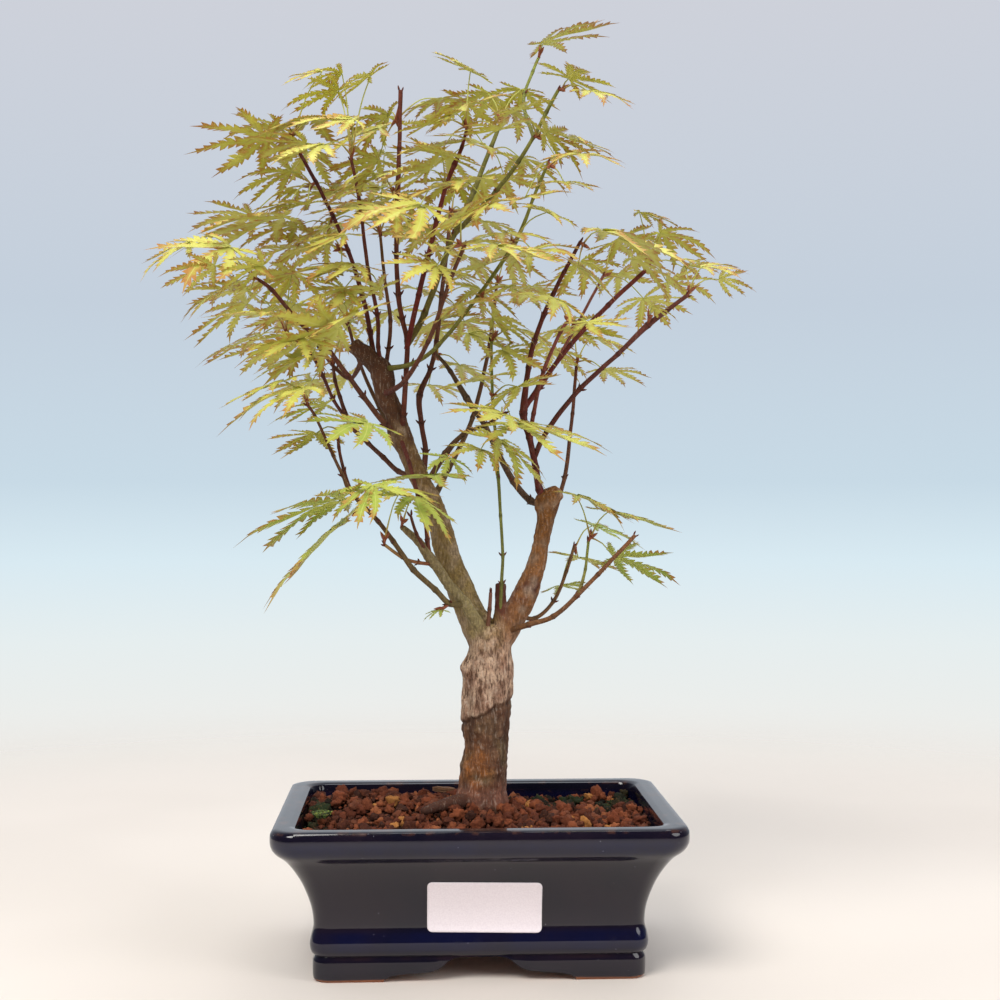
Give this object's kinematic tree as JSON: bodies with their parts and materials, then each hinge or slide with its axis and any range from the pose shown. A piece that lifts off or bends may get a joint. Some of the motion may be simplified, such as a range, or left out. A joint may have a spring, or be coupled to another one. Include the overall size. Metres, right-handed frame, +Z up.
{
  "type": "bonsai tree in a pot",
  "caption": "Small cut-leaf maple bonsai: forked grafted trunk with leafy shoots, standing in granular soil in a glazed oblong footed pot.",
  "frame": {"origin": "centre of the object's bounding box, on the ground under the pot's feet", "axes": "+Z up along the trunk, +X to the right along the pot's long side, -Y towards the front with the label"},
  "size_m": [0.29, 0.2366, 0.4674],
  "materials": {
    "glaze": "high-gloss near-black navy glaze",
    "soil": "matt, granular baked clay",
    "bark": "rough bark",
    "leaf": "soft leaf surface, satin",
    "label": "coated paper, blank",
    "chip": "raw bark chip",
    "moss": "soft moss",
    "grid": "black moulded plastic"
  },
  "bodies": {
    "root": {"bark_chip": "chip", "drainage_mesh_left": "grid", "drainage_mesh_right": "grid", "moss_tuft": "moss", "paper_label": "label", "pot": "glaze", "soil_bed": "soil", "spray_01": "leaf", "spray_02": "leaf", "spray_03": "leaf", "spray_04": "leaf", "spray_05": "leaf", "spray_06": "leaf", "spray_07": "leaf", "spray_08": "leaf", "spray_09": "leaf", "spray_10": "leaf", "spray_11": "leaf", "spray_12": "leaf", "spray_13": "leaf", "spray_14": "leaf", "spray_15": "leaf", "spray_16": "leaf", "spray_17": "leaf", "spray_18": "leaf", "spray_19": "leaf", "spray_20": "leaf", "spray_21": "leaf", "spray_22": "leaf", "spray_23": "leaf", "spray_24": "leaf", "spray_25": "leaf", "spray_26": "leaf", "spray_27": "leaf", "spray_28": "leaf", "spray_29": "leaf", "spray_30": "leaf", "spray_31": "leaf", "spray_32": "leaf", "spray_33": "leaf", "spray_34": "leaf", "spray_35": "leaf", "spray_36": "leaf", "spray_37": "leaf", "spray_38": "leaf", "spray_39": "leaf", "spray_40": "leaf", "spray_41": "leaf", "spray_42": "leaf", "spray_43": "leaf", "spray_44": "leaf", "spray_45": "leaf", "spray_46": "leaf", "spray_47": "leaf", "spray_48": "leaf", "spray_49": "leaf", "spray_50": "leaf", "spray_51": "leaf", "spray_52": "leaf", "trunk_and_branches": "bark"}
  },
  "joints": []
}
